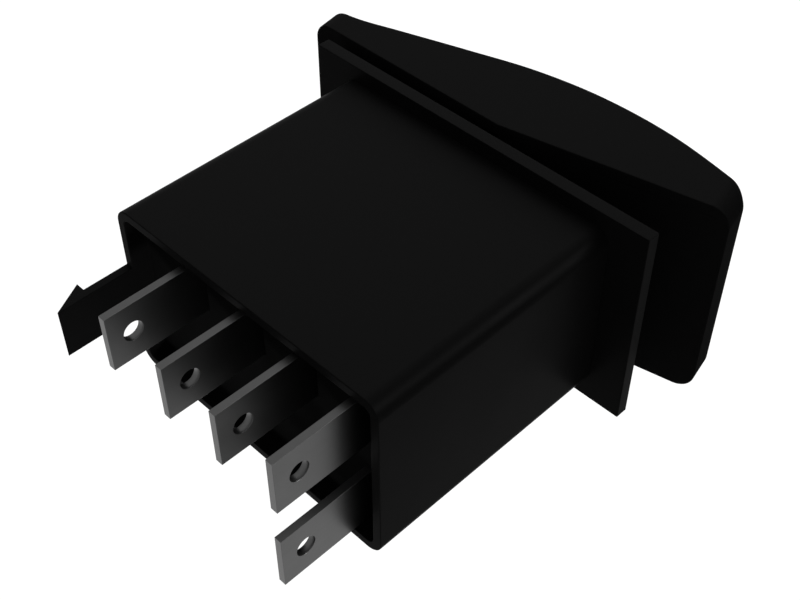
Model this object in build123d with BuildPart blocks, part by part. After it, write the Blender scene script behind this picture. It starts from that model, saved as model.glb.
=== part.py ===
"""Auto leveler switch: a panel rocker switch with five push-on tabs.

The origin is the middle of the flange's seating plane, which lies on the panel. -Y points to the
user, +Y to the tabs, X runs along the long side and +Z is up. The rocker is modelled at rest as it
stands with its +X end pressed. All sizes are in millimetres, all angles in degrees.
"""

from math import cos, radians, sin, tan
import os

from build123d import *

os.makedirs("parts", exist_ok=True)

# Flange: the plate that lies on the panel
flange_length = 42.7
flange_height = 23.9
flange_thickness = 1.45

# Case behind the panel
case_length = 34.6
case_height = 20.4
case_depth = 29.1
case_corner = 1.8
case_wall = 1.0
recess_depth = 2.1

# Latch arm for the connector: the +X end wall runs on past the rim
latch_width = 5.8
latch_reach = 8.5
latch_barb = 1.0
latch_barb_length = 3.5
latch_tip = 0.1

# Push-on tabs
blade_thickness = 0.8
blade_width = 6.35
blade_reach = 8.6
blade_hole_radius = 1.05
blade_hole_from_end = 2.63
row_offset = 5.2
throw_a_x = 7.96
common_x = 0.0
throw_b_x = -7.0
lamp_x = -13.95
shoulder_width = 7.2
shoulder_length = 0.9
slot_clearance = 0.02

# Base block that holds the tabs
base_thickness = 6.0
base_fit = 0.03
base_corner = 0.8
base_relief_depth = 1.6
base_ledge = 0.7
base_ledge_length = 1.2
base_ledge_width = 12.0

# Rocker
pivot_height = 3.1
rocker_gap = 3.0
rocker_vee = 12.24
rocker_width = 23.9
rocker_end_a = 25.0
rocker_end_offset = 0.5
kink_offset = 0.82
rocker_half_b = 24.16
rocker_end_height_a = 2.75
rocker_end_height_b = 3.38
rocker_crown = 10.7
rocker_corner = 2.1
cap_wall = 1.2
cap_front_wall = 1.2
rib_thickness = 1.0
rib_places = (15.5, 6.5, -6.5, -18.5)
# Each point of the front: along the half it is on as a share of that half, then up as a share of the crown
front_ratios = ((0.868, 0.317), (0.688, 0.455), (0.391, 0.682), (0.093, 0.891), (-0.222, 1.0), (-0.5625, 0.992))
front_shoulder_ratio = (-0.893, 0.862)

# Carrier: closes the rocker's underside, turns on the pin and holds the stem
plate_thickness = 1.0
plate_fit = 0.03
barrel_radius = 2.2
barrel_length = 14.6
stem_size = 4.2
stem_length = 11.5
stem_corner = 0.6
stem_bore_start = 2.4
window_length = 5.2
window_height = 5.0
nub_length = 2.0
nub_width = 8.0
nub_place = 9.0

# Pivot pin and the ears on the housing that hold it
pin_radius = 1.0
pin_running = 0.03
ear_inner = 7.5
ear_thickness = 1.3
ear_radius = 2.5
ear_root = 4.0
ear_slot_clearance = 0.2
ear_slot_half = 3.2

# Stop bars across the mouth of the case
stop_bar_width = 3.0
stop_bar_depth = 1.55
stop_bar_face = 0.75
stop_gap = 0.1

# Plunger and its spring
plunger_radius = 1.3
plunger_running = 0.05
plunger_tip = 14.0
plunger_length = 7.4
plunger_gap = 0.26
spring_wire = 0.4
spring_pitch = 0.95
spring_mean_radius = 0.95

# See-saw contact
seesaw_tilt = 5.5
seesaw_width = 4.4
seesaw_thickness = 0.8
seesaw_front = 0.45
seesaw_over = 1.2
notch_half_angle = 50.0
knife_half_angle = 30.0
knife_gap = 0.05
knife_flat = 0.1
arm_a = 7.3
arm_b = 7.7
horn_height = 1.2
horn_clearance = 0.15
button_radius = 0.9
button_height = 0.55
button_round = 0.15
fixed_button_radius = 1.0
fixed_button_height = 0.4
contact_gap = 0.05
platform_edge = 0.3
bend_radius = 0.5

# Lamp with its legs and resistor
lamp_radius = 1.5
lamp_rim_radius = 1.9
lamp_rim_thickness = 1.0
lamp_top = 3.8
lamp_height = 5.2
lead_size = 0.5
lead_spacing = 2.54
lead_end = 19.4
lamp_neck_width = 3.6
lamp_tab_end = 16.6
feed_lead_z = 3.6
return_lead_z = -4.4
resistor_radius = 0.95
resistor_length = 4.6
resistor_start = 11.2

# Lens in the rocker's front
lens_length = 5.0
lens_height = 8.0
lens_depth = 2.4
lens_place = -13.4
lens_fit = 0.03
lens_lip = 0.8
lens_lip_gap = 0.1

# What follows from the sizes above
inner_length = case_length - 2 * case_wall
inner_height = case_height - 2 * case_wall
inner_corner = case_corner - case_wall
base_back = case_depth - recess_depth
base_front = base_back - base_thickness
tab_end = case_depth + blade_reach
half_vee = rocker_vee / 2
pivot = Vector(0, -pivot_height, 0)
under_y = -rocker_gap
kink = Vector(-kink_offset, under_y, 0)
along_b = Vector(-cos(radians(rocker_vee)), -sin(radians(rocker_vee)), 0)
front_b = Vector(sin(radians(rocker_vee)), -cos(radians(rocker_vee)), 0)
end_b = kink + along_b * rocker_half_b
front_corner_b = end_b + front_b * rocker_end_height_b
stem_axis = Vector(-sin(radians(half_vee)), cos(radians(half_vee)), 0)
stem_side = Vector(cos(radians(half_vee)), sin(radians(half_vee)), 0)
seesaw_rear = seesaw_thickness - seesaw_front

# The knife edge stands where the plunger's round tip presses the tilted see-saw
tip_centre = plunger_tip - plunger_radius
tip_lever = tip_centre * sin(radians(half_vee)) * sin(radians(seesaw_tilt))
tip_stand = (seesaw_front + plunger_radius + plunger_gap - tip_lever) / cos(radians(seesaw_tilt))
fulcrum_y = tip_centre * cos(radians(half_vee)) - pivot_height + tip_stand


def fixed_button_face(arm):
    """Y of a fixed button's face, just clear of the moving button that tilts down to it."""
    reach = (arm + button_radius - button_round) * sin(radians(seesaw_tilt))
    drop = (seesaw_rear + button_height - button_round) * cos(radians(seesaw_tilt))
    return fulcrum_y + reach + drop + button_round + contact_gap


platform_a = fixed_button_face(arm_a) + fixed_button_height
platform_b = fixed_button_face(arm_b) + fixed_button_height


def front_point(share, drop=0.0):
    """A point of the rocker's front curve, or of the same curve lowered into the rocker."""
    half = rocker_end_a if share[0] > 0 else rocker_half_b
    return (share[0] * half, under_y - share[1] * rocker_crown + drop)


def at(vector):
    """The X and Y of a vector, for a sketch."""
    return (vector.X, vector.Y)


def front_points(drop=0.0):
    """The rocker's convex front from its +X corner to its -X corner."""
    first = (rocker_end_a + rocker_end_offset, under_y - rocker_end_height_a + drop)
    last = (front_corner_b.X, front_corner_b.Y + drop)
    return [first, *[front_point(share, drop) for share in front_ratios], front_point(front_shoulder_ratio, drop), last]


def tab_profile(z, inner_end, neck_width):
    """A flat tab seen from +X: neck in the case, shoulder on the base, blade with its hole."""
    shoulder_front = base_front - shoulder_length
    with Locations(((tab_end + base_front) / 2, z)):
        Rectangle(tab_end - base_front, blade_width)
    with Locations(((base_front + shoulder_front) / 2, z)):
        Rectangle(shoulder_length, shoulder_width)
    with Locations(((shoulder_front + inner_end) / 2, z)):
        Rectangle(shoulder_front - inner_end, neck_width)
    with Locations((tab_end - blade_hole_from_end, z)):
        Circle(blade_hole_radius, mode=Mode.SUBTRACT)


# Housing: flange, case, latch arm, ears and stop bars in one moulding
with BuildPart() as housing:
    with BuildSketch(Plane.XZ):
        Rectangle(flange_length, flange_height)
    extrude(amount=flange_thickness)
    with BuildSketch(Plane.XZ):
        RectangleRounded(case_length, case_height, case_corner)
    extrude(amount=-case_depth)
    with BuildSketch(Plane.XZ.offset(flange_thickness)):
        RectangleRounded(inner_length, inner_height, inner_corner)
    extrude(amount=-(flange_thickness + case_depth), mode=Mode.SUBTRACT)
    # Latch arm: the end wall carried on, with a barb that points away from the tabs
    with BuildSketch(Plane.XY):
        with BuildLine():
            Polyline(
                (case_length / 2 - case_wall, case_depth - case_wall),
                (case_length / 2, case_depth - case_wall),
                (case_length / 2, case_depth + latch_reach - latch_barb_length),
                (case_length / 2 + latch_barb, case_depth + latch_reach - latch_barb_length),
                (case_length / 2 - case_wall + latch_tip, case_depth + latch_reach),
                (case_length / 2 - case_wall, case_depth + latch_reach),
                close=True,
            )
        make_face()
    extrude(amount=latch_width / 2, both=True)
    # Ears for the pivot pin, rooted in the long walls
    for side in (1, -1):
        with BuildSketch(Plane.XY.offset(side * ear_inner)):
            with Locations(at(pivot)):
                Circle(ear_radius)
            with Locations((0, (ear_root - pivot_height) / 2)):
                Rectangle(2 * ear_radius, ear_root + pivot_height)
        extrude(amount=side * ear_thickness)
        with BuildSketch(Plane.XY.offset(side * ear_inner)):
            with Locations((0, (ear_root - flange_thickness) / 2)):
                Rectangle(2 * ear_radius, ear_root + flange_thickness)
        extrude(amount=side * (inner_height / 2 - ear_inner + case_wall / 2))
    with BuildSketch(Plane.XY):
        with Locations(at(pivot)):
            Circle(pin_radius)
    extrude(amount=2 * ear_inner, both=True, mode=Mode.SUBTRACT)
    # Stop bars that the rocker's nubs come down on
    for side in (1, -1):
        with BuildSketch(Plane.XY):
            with Locations((side * nub_place, stop_bar_depth / 2 - stop_bar_face)):
                Rectangle(stop_bar_width, stop_bar_depth)
        extrude(amount=inner_height / 2 + case_wall / 2, both=True)
    # Ledges that the base seats against
    for side in (1, -1):
        with BuildSketch(Plane.XY):
            with Locations((side * (inner_length / 2 - base_ledge / 2 + case_wall / 4), base_front - base_ledge_length / 2)):
                Rectangle(base_ledge + case_wall / 2, base_ledge_length)
        extrude(amount=base_ledge_width / 2, both=True)

# Base block: seats on the ledges, a slot for each tab, relieved between the rows
with BuildPart() as terminal_base:
    with BuildSketch(Plane.XZ.offset(-base_back)):
        RectangleRounded(inner_length - 2 * base_fit, inner_height - 2 * base_fit, base_corner)
    extrude(amount=base_thickness)
    with BuildSketch(Plane.XZ.offset(-base_back)):
        with Locations(
            (throw_a_x, row_offset), (common_x, row_offset), (throw_b_x, row_offset),
            (lamp_x, row_offset), (lamp_x, -row_offset),
        ):
            Rectangle(blade_thickness + 2 * slot_clearance, blade_width + 2 * slot_clearance)
    extrude(amount=base_thickness, mode=Mode.SUBTRACT)
    with BuildSketch(Plane.XZ.offset(-base_front)):
        with Locations(((throw_a_x + throw_b_x) / 2, -row_offset)):
            Rectangle(throw_a_x - throw_b_x + shoulder_length, blade_width)
    extrude(amount=-base_relief_depth, mode=Mode.SUBTRACT)

# Throw tab A: bent inward over the blade to carry its fixed button
with BuildPart() as terminal_throw_a:
    with BuildSketch(Plane.YZ.offset(throw_a_x - blade_thickness / 2)):
        tab_profile(row_offset, platform_a + blade_thickness + bend_radius, seesaw_width)
    extrude(amount=blade_thickness)
    with BuildSketch(Plane.XY.offset(row_offset)):
        with BuildLine():
            outer_a = throw_a_x + blade_thickness / 2
            inner_a = arm_a - fixed_button_radius - platform_edge
            leg_a = platform_a + blade_thickness + bend_radius + shoulder_length
            path_a = FilletPolyline(
                (inner_a, platform_a + blade_thickness / 2),
                (outer_a - blade_thickness / 2, platform_a + blade_thickness / 2),
                (outer_a - blade_thickness / 2, leg_a),
                radius=bend_radius + blade_thickness / 2,
            )
            offset(path_a, amount=blade_thickness / 2, side=Side.BOTH)
        make_face()
    extrude(amount=seesaw_width / 2, both=True)

# Common tab: knife edge under the see-saw, a horn at each side of it
with BuildPart() as terminal_common:
    with BuildSketch(Plane.YZ.offset(common_x - blade_thickness / 2)):
        tab_profile(row_offset, fulcrum_y - horn_height, blade_width)
        with Locations((fulcrum_y + knife_gap - horn_height, row_offset)):
            Rectangle(2 * horn_height, seesaw_width + 2 * horn_clearance, mode=Mode.SUBTRACT)
    extrude(amount=blade_thickness)
    with BuildSketch(Plane.XY.offset(row_offset)):
        for side in (1, -1):
            with BuildLine():
                bevel = (blade_thickness - knife_flat) / 2
                Polyline(
                    (common_x + side * knife_flat / 2, fulcrum_y + knife_gap),
                    (common_x + side * blade_thickness / 2, fulcrum_y + knife_gap),
                    (common_x + side * blade_thickness / 2, fulcrum_y + knife_gap + bevel / tan(radians(knife_half_angle))),
                    close=True,
                )
            make_face()
    extrude(amount=seesaw_width / 2 + horn_clearance, both=True, mode=Mode.SUBTRACT)

# Throw tab B: bent outward, away from the common tab
with BuildPart() as terminal_throw_b:
    with BuildSketch(Plane.YZ.offset(throw_b_x - blade_thickness / 2)):
        tab_profile(row_offset, platform_b + blade_thickness + bend_radius, seesaw_width)
    extrude(amount=blade_thickness)
    with BuildSketch(Plane.XY.offset(row_offset)):
        with BuildLine():
            outer_b = throw_b_x
            inner_b = -arm_b - fixed_button_radius - platform_edge
            leg_b = platform_b + blade_thickness + bend_radius + shoulder_length
            path_b = FilletPolyline(
                (inner_b, platform_b + blade_thickness / 2),
                (outer_b, platform_b + blade_thickness / 2),
                (outer_b, leg_b),
                radius=bend_radius + blade_thickness / 2,
            )
            offset(path_b, amount=blade_thickness / 2, side=Side.BOTH)
        make_face()
    extrude(amount=seesaw_width / 2, both=True)

# Lamp tabs: short straight necks for the lamp's legs
with BuildPart() as terminal_lamp_feed:
    with BuildSketch(Plane.YZ.offset(lamp_x - blade_thickness / 2)):
        tab_profile(row_offset, lamp_tab_end, lamp_neck_width)
    extrude(amount=blade_thickness)

with BuildPart() as terminal_lamp_return:
    with BuildSketch(Plane.YZ.offset(lamp_x - blade_thickness / 2)):
        tab_profile(-row_offset, lamp_tab_end, lamp_neck_width)
    extrude(amount=blade_thickness)

# Fixed contact buttons on the two platforms
with BuildPart() as fixed_button_a:
    with BuildSketch(Plane.XZ.offset(-platform_a)):
        with Locations((arm_a, row_offset)):
            Circle(fixed_button_radius)
    extrude(amount=fixed_button_height)

with BuildPart() as fixed_button_b:
    with BuildSketch(Plane.XZ.offset(-platform_b)):
        with Locations((-arm_b, row_offset)):
            Circle(fixed_button_radius)
    extrude(amount=fixed_button_height)

# See-saw contact, tilted about the knife edge so that its -X button is down
seesaw_plane = Plane(
    origin=(common_x, fulcrum_y, row_offset),
    x_dir=(cos(radians(seesaw_tilt)), -sin(radians(seesaw_tilt)), 0),
    z_dir=(0, 0, 1),
)
with BuildPart() as seesaw_contact:
    with BuildSketch(seesaw_plane):
        with BuildLine():
            notch = seesaw_rear * tan(radians(notch_half_angle))
            Polyline(
                (-arm_b - seesaw_over, seesaw_rear),
                (-notch, seesaw_rear),
                (0, 0),
                (notch, seesaw_rear),
                (arm_a + seesaw_over, seesaw_rear),
                (arm_a + seesaw_over, -seesaw_front),
                (-arm_b - seesaw_over, -seesaw_front),
                close=True,
            )
        make_face()
    extrude(amount=seesaw_width / 2, both=True)

button_plane = Plane(
    origin=seesaw_plane.from_local_coords((0, seesaw_rear, 0)),
    x_dir=seesaw_plane.x_dir,
    z_dir=seesaw_plane.y_dir,
)
with BuildPart() as moving_button_a:
    with BuildSketch(button_plane):
        with Locations((arm_a, 0)):
            Circle(button_radius)
    extrude(amount=button_height)
    chamfer(moving_button_a.faces().sort_by(Axis(button_plane.origin, button_plane.z_dir))[-1].edges(), button_round)

with BuildPart() as moving_button_b:
    with BuildSketch(button_plane):
        with Locations((-arm_b, 0)):
            Circle(button_radius)
    extrude(amount=button_height)
    chamfer(moving_button_b.faces().sort_by(Axis(button_plane.origin, button_plane.z_dir))[-1].edges(), button_round)

# Rocker cap: moulded shell, open below, ribbed inside, with a window for the lens
with BuildPart() as rocker_cap:
    with BuildSketch(Plane.XY):
        with BuildLine():
            front = Spline(*front_points())
            Polyline(front @ 1, at(end_b), at(kink), (rocker_end_a, under_y), front @ 0)
        make_face()
    extrude(amount=rocker_width / 2, both=True)
    end_edges = rocker_cap.edges().filter_by(lambda e: e.length < rocker_crown / 2 and abs(e.center().Z) > rocker_width / 3)
    fillet(end_edges, rocker_corner)
    with BuildSketch(Plane.XY):
        inner_end_a = rocker_end_a - cap_wall
        inner_foot_b = end_b - along_b * cap_wall
        inner_deep_b = inner_foot_b + front_b * rocker_crown
        inner_open_b = inner_foot_b - front_b * cap_wall
        with BuildLine():
            inner_front = Spline(*front_points(drop=cap_front_wall))
            Polyline(
                inner_front @ 1, (front_corner_b.X, rocker_crown),
                (rocker_end_a + rocker_end_offset, rocker_crown), inner_front @ 0,
            )
        make_face()
        with BuildLine():
            Polyline(
                (inner_end_a, under_y - rocker_crown), at(inner_deep_b - Vector(0, rocker_crown)), at(inner_deep_b),
                at(inner_open_b), (kink.X, under_y + cap_wall), (inner_end_a, under_y + cap_wall), close=True,
            )
        make_face(mode=Mode.INTERSECT)
        for place in rib_places:
            low = rib_thickness / 2
            reach = max(0.0, kink.X - place)
            slope = tan(radians(rocker_vee)) if place < kink.X else 0.0
            lift = plate_thickness / cos(radians(rocker_vee)) if place < kink.X else plate_thickness
            with BuildLine():
                Polyline(
                    (place + low, under_y - (reach - low * (slope > 0)) * slope - lift),
                    (place + low, under_y - 2 * rocker_crown),
                    (place - low, under_y - 2 * rocker_crown),
                    (place - low, under_y - (reach + low * (slope > 0)) * slope - lift),
                    close=True,
                )
            make_face(mode=Mode.SUBTRACT)
    extrude(amount=rocker_width / 2 - cap_wall, both=True, mode=Mode.SUBTRACT)
    with BuildSketch(Plane.XZ.offset(rocker_gap + plate_thickness)):
        with Locations((lens_place, 0)):
            Rectangle(lens_length, lens_height)
    extrude(amount=2 * rocker_crown, mode=Mode.SUBTRACT)

# Lens: fills the window flush with the rocker's front
with BuildPart() as lens:
    with BuildSketch(Plane.XY):
        with BuildLine():
            lens_front = Spline(*front_points())
            lens_back = Spline(*front_points(drop=lens_depth))
            Line(lens_front @ 0, lens_back @ 0)
            Line(lens_front @ 1, lens_back @ 1)
        make_face()
    extrude(amount=lens_height / 2 - lens_fit, both=True)
    with BuildSketch(Plane.XZ.offset(rocker_gap + rocker_crown / 2)):
        with Locations((lens_place, 0)):
            Rectangle(lens_length - 2 * lens_fit, lens_height)
    extrude(amount=rocker_crown, mode=Mode.INTERSECT)
    # Lip that bears behind the wall
    with BuildSketch(Plane.XY):
        with BuildLine():
            lip_front = Spline(*front_points(drop=cap_front_wall + lens_lip_gap))
            lip_back = Spline(*front_points(drop=lens_depth))
            Line(lip_front @ 0, lip_back @ 0)
            Line(lip_front @ 1, lip_back @ 1)
        make_face()
        with Locations((lens_place, under_y - rocker_crown / 2)):
            Rectangle(lens_length + 2 * lens_lip, 2 * rocker_crown, mode=Mode.INTERSECT)
    extrude(amount=lens_height / 2 + lens_lip, both=True)

# Carrier: plate in the cap's mouth, pivot barrel, stem and stop nubs
stem_plane = Plane(origin=(0, -pivot_height, row_offset), x_dir=stem_side, z_dir=stem_axis)
with BuildPart() as rocker_carrier:
    with BuildSketch(Plane.XY):
        plate_end_a = rocker_end_a - cap_wall - plate_fit
        plate_end_b = end_b - along_b * (cap_wall + plate_fit)
        plate_top_b = plate_end_b + front_b * plate_thickness
        with BuildLine():
            Polyline(
                (plate_end_a, under_y),
                at(kink),
                at(plate_end_b),
                at(plate_top_b),
                (kink.X + plate_thickness * tan(radians(half_vee)), under_y - plate_thickness),
                (plate_end_a, under_y - plate_thickness),
                close=True,
            )
        make_face()
    extrude(amount=rocker_width / 2 - cap_wall - plate_fit, both=True)
    # Slots that the ears pass through
    for side in (1, -1):
        with BuildSketch(Plane.XY.offset(side * (ear_inner - ear_slot_clearance))):
            with Locations(at(pivot)):
                Rectangle(2 * ear_slot_half, 4 * plate_thickness)
        extrude(amount=side * (ear_thickness + 2 * ear_slot_clearance), mode=Mode.SUBTRACT)
    with BuildSketch(Plane.XY):
        with Locations(at(pivot)):
            Circle(barrel_radius)
    extrude(amount=barrel_length / 2, both=True)
    with BuildSketch(stem_plane):
        RectangleRounded(stem_size, stem_size, stem_corner)
    extrude(amount=stem_length)
    # Stop nubs: both come down to the same height over the bars
    over_a = pivot_height - rocker_gap
    over_b = (kink - pivot).dot(front_b * -1)
    nub_a = pivot_height - over_a - stop_bar_face - stop_gap
    nub_b = pivot_height - over_b - stop_bar_face - stop_gap
    with BuildSketch(Plane.XY):
        with Locations((nub_place, under_y + (nub_a - plate_thickness / 2) / 2)):
            Rectangle(nub_length, nub_a + plate_thickness / 2)
        nub_foot = pivot + along_b * nub_place - front_b * over_b
        with Locations(Location((nub_foot.X, nub_foot.Y, 0), (0, 0, rocker_vee))):
            with Locations((0, (nub_b - plate_thickness / 2) / 2)):
                Rectangle(nub_length, nub_b + plate_thickness / 2)
    extrude(amount=nub_width / 2, both=True)
    # Bores: across for the pin, up the stem for the spring and plunger
    with BuildSketch(Plane.XY):
        with Locations(at(pivot)):
            Circle(pin_radius + pin_running)
    extrude(amount=barrel_length, both=True, mode=Mode.SUBTRACT)
    with BuildSketch(stem_plane.offset(stem_bore_start)):
        Circle(plunger_radius + plunger_running)
    extrude(amount=stem_length, mode=Mode.SUBTRACT)
    # Window for the lamp
    with BuildSketch(Plane.XZ.offset(rocker_gap - plate_thickness)):
        with Locations((lens_place, 0)):
            Rectangle(window_length, window_height)
    extrude(amount=rocker_crown, mode=Mode.SUBTRACT)

# Pin: held in the ears, the barrel turns on it
with BuildPart() as pivot_pin:
    with BuildSketch(Plane.XY):
        with Locations(at(pivot)):
            Circle(pin_radius)
    extrude(amount=ear_inner + ear_thickness, both=True)
    chamfer(pivot_pin.faces().filter_by(Axis.Z).edges(), pin_radius / 5)

# Plunger: slides in the stem, its round tip on the see-saw
with BuildPart() as plunger:
    with BuildSketch(stem_plane.offset(plunger_tip - plunger_length)):
        Circle(plunger_radius)
    extrude(amount=plunger_length - plunger_radius)
    with Locations(Location(stem_plane.from_local_coords((0, 0, tip_centre)))):
        Sphere(plunger_radius)

# Spring between the bore's end and the plunger
spring_room = plunger_tip - plunger_length - stem_bore_start
with BuildPart() as plunger_spring:
    spring_base = stem_plane.offset(stem_bore_start + spring_wire / 2)
    with BuildLine():
        coil = Helix(
            pitch=spring_pitch,
            height=spring_room - spring_wire,
            radius=spring_mean_radius,
            center=spring_base.origin,
            direction=spring_base.z_dir,
        )
    with BuildSketch(Plane(origin=coil @ 0, z_dir=coil % 0)):
        RegularPolygon(spring_wire / 2, 8)
    sweep(path=coil, is_frenet=True)

# Lamp: clear body with a rim, on two square legs
with BuildPart() as lamp_body:
    leg_x = lamp_x + blade_thickness / 2 + lead_size / 2
    with BuildSketch(Plane.XZ.offset(-(lamp_top + lamp_height))):
        with Locations((leg_x, 0)):
            Circle(lamp_rim_radius)
    extrude(amount=lamp_rim_thickness)
    with BuildSketch(Plane.XZ.offset(-(lamp_top + lamp_height))):
        with Locations((leg_x, 0)):
            Circle(lamp_radius)
    extrude(amount=lamp_height - lamp_radius)
    with Locations((leg_x, lamp_top + lamp_radius, 0)):
        Sphere(lamp_radius)

lead_top = lamp_top + lamp_height
with BuildPart() as lamp_lead_feed:
    with BuildSketch(Plane.YZ.offset(leg_x - lead_size / 2)):
        with BuildLine():
            feed_path = Polyline(
                (lead_top + lead_size / 2, lead_spacing / 2),
                (lead_top + 2 * lead_size, lead_spacing / 2),
                (lead_top + 6 * lead_size, feed_lead_z),
                (lead_end, feed_lead_z),
            )
            offset(feed_path, amount=lead_size / 2, side=Side.BOTH)
        make_face()
    extrude(amount=lead_size)

with BuildPart() as lamp_lead_return:
    with BuildSketch(Plane.YZ.offset(leg_x - lead_size / 2)):
        with BuildLine():
            return_path = Polyline(
                (lead_top + lead_size / 2, -lead_spacing / 2),
                (lead_top + lead_size, -lead_spacing / 2),
                (resistor_start - lead_size, return_lead_z),
                (resistor_start, return_lead_z),
            )
            offset(return_path, amount=lead_size / 2, side=Side.BOTH)
        make_face()
    extrude(amount=lead_size)

# Series resistor and its leg to the lower lamp tab
with BuildPart() as resistor_body:
    with BuildSketch(Plane.XZ.offset(-(resistor_start + lead_size / 2))):
        with Locations((leg_x, return_lead_z)):
            Circle(resistor_radius)
    extrude(amount=-resistor_length)
    chamfer(resistor_body.faces().filter_by(Axis.Y).edges(), resistor_radius / 4)

with BuildPart() as resistor_lead:
    lead_start = resistor_start + lead_size / 2 + resistor_length
    with BuildSketch(Plane.XZ.offset(-lead_start)):
        with Locations((leg_x, return_lead_z)):
            Rectangle(lead_size, lead_size)
    extrude(amount=-(lead_end - lead_start))

pieces = {
    "housing": housing,
    "terminal_base": terminal_base,
    "terminal_throw_a": terminal_throw_a,
    "terminal_common": terminal_common,
    "terminal_throw_b": terminal_throw_b,
    "terminal_lamp_feed": terminal_lamp_feed,
    "terminal_lamp_return": terminal_lamp_return,
    "fixed_button_a": fixed_button_a,
    "fixed_button_b": fixed_button_b,
    "seesaw_contact": seesaw_contact,
    "moving_button_a": moving_button_a,
    "moving_button_b": moving_button_b,
    "rocker_cap": rocker_cap,
    "lens": lens,
    "rocker_carrier": rocker_carrier,
    "pivot_pin": pivot_pin,
    "plunger": plunger,
    "plunger_spring": plunger_spring,
    "lamp_body": lamp_body,
    "lamp_lead_feed": lamp_lead_feed,
    "lamp_lead_return": lamp_lead_return,
    "resistor_body": resistor_body,
    "resistor_lead": resistor_lead,
}
for name, piece in pieces.items():
    piece.part.label = name
    export_step(piece.part, f"parts/{name}.step")
print("fulcrum", round(fulcrum_y, 3), "platforms", round(platform_a, 3), round(platform_b, 3))
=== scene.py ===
# %% [markdown]
# # Auto leveler switch
# This lesson dresses a small panel rocker switch for the camera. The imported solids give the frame:
# where every piece is and how it moves. Here the pieces in view are made again with the edges, gaps
# and finishes that the moulded and stamped originals have, and each one rides on its solid's body.
# The frame's origin is the middle of the flange's seating plane. -Y points to the user, +Y to the
# tabs, X runs along the long side and +Z is up. Blender works in metres and the drawing of the
# switch is in millimetres, so one value turns the one into the other.

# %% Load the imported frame
import math

import bmesh
import bpy
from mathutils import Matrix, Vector


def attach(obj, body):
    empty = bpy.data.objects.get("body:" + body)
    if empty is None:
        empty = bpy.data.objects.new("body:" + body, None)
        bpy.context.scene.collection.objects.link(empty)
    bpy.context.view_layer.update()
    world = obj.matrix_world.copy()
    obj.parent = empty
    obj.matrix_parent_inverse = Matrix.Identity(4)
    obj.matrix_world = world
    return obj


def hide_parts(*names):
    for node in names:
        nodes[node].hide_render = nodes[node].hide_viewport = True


MM = 0.001


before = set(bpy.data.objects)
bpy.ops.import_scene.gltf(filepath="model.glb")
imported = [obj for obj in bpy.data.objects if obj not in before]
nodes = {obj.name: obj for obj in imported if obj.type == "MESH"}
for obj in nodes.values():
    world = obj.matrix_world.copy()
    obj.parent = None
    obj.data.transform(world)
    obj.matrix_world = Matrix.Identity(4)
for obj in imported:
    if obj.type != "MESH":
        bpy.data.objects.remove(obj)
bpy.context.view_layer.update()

# %% [markdown]
# ## Camera
# The picture this model follows shows the switch from behind, 45 degrees round from its -X end and
# 45 degrees up. The camera's place comes from the corners of the housing and of the tabs: only one
# place and one focal length put all of them where the picture has them.

# %% Set the camera
CAMERA_AT = Vector((-64.325, 73.708, 87.203)) * MM
CAMERA_LOOKS = Vector((0.5, -0.5, -math.sqrt(0.5)))
FOCAL_LENGTH = 57.69
SENSOR_WIDTH = 36.0
NEAREST = 1 * MM

camera = bpy.data.objects.new("camera", bpy.data.cameras.new("camera"))
camera.location = CAMERA_AT
camera.rotation_euler = CAMERA_LOOKS.to_track_quat("-Z", "Y").to_euler()
camera.data.lens = FOCAL_LENGTH
camera.data.sensor_width = SENSOR_WIDTH
camera.data.clip_start = NEAREST
bpy.context.scene.collection.objects.link(camera)
bpy.context.scene.camera = camera
print("camera in mm", [round(value / MM, 1) for value in camera.location])

# %% [markdown]
# ## Colours and nodes
# A procedural material is a small tree of nodes. One function adds a node with its settings and
# joins its inputs: a value given for an input is typed into the socket, and an output given for it
# is linked. Colours are written as the hex values that a colour picker shows and turned to the
# linear numbers that a render needs. Most finishes drift a little between a darker and a lighter
# tone, so a second function gives a tone of a colour.

# %% Turn hex colours into linear ones


def linear(code):
    """The linear colour of an sRGB hex value."""
    shares = [int(code[i:i + 2], 16) / 255 for i in (1, 3, 5)]
    return [s / 12.92 if s <= 0.04045 else ((s + 0.055) / 1.055) ** 2.4 for s in shares] + [1.0]


def toned(code, share):
    """The linear colour of a hex value, made darker or lighter by a share, up to white."""
    return [min(value * share, 1.0) for value in linear(code)[:3]] + [1.0]


print("middle grey", [round(value, 3) for value in linear("#808080")])

# %% Add nodes to a material


def add(tree, kind, settings=None, inputs=None):
    """Adds a node, sets its properties, and types in or links its inputs."""
    node = tree.nodes.new(kind)
    for name, value in (settings or {}).items():
        setattr(node, name, value)
    for name, value in (inputs or {}).items():
        if isinstance(value, bpy.types.NodeSocket):
            tree.links.new(value, node.inputs[name])
        else:
            node.inputs[name].default_value = value
    return node


def blank(name):
    """A new material with an empty node tree."""
    material = bpy.data.materials.new(name)
    material.use_nodes = True
    material.node_tree.nodes.clear()
    return material, material.node_tree


print("materials so far", len(bpy.data.materials))

# %% [markdown]
# ## Moulded plastic
# The housing, the rocker, the carrier and the base are injection moulded in black. The housing and
# the base are glass-filled nylon from a spark-eroded mould, whose skin is a fine even grain. The
# rocker and its carrier are a smoother plastic. The picture shows all of them matte and nearly
# black, and only the round edges of the case catch a soft line of light. A gloss of the usual
# strength would mirror the white surroundings and turn black plastic grey at low angles, so the
# sheen is set far below the usual value: a trace on the nylon, less on the rocker and none inside.
# The grain is about 0.05 mm, too fine to show at this distance, so it is drawn three times as large.
# A slow drift in the roughness stands for the way the melt flowed through the mould.

# %% Define the moulded plastics
GRAIN = 0.15 * MM
GRAIN_TONE = 0.1
GRAIN_BUMP = 0.25
FLOW = 9.0 * MM
FLOW_ROUGHNESS = 0.04
NOISE_LOW = 0.3
NOISE_HIGH = 0.7
PLASTIC_IOR = 1.5


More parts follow.
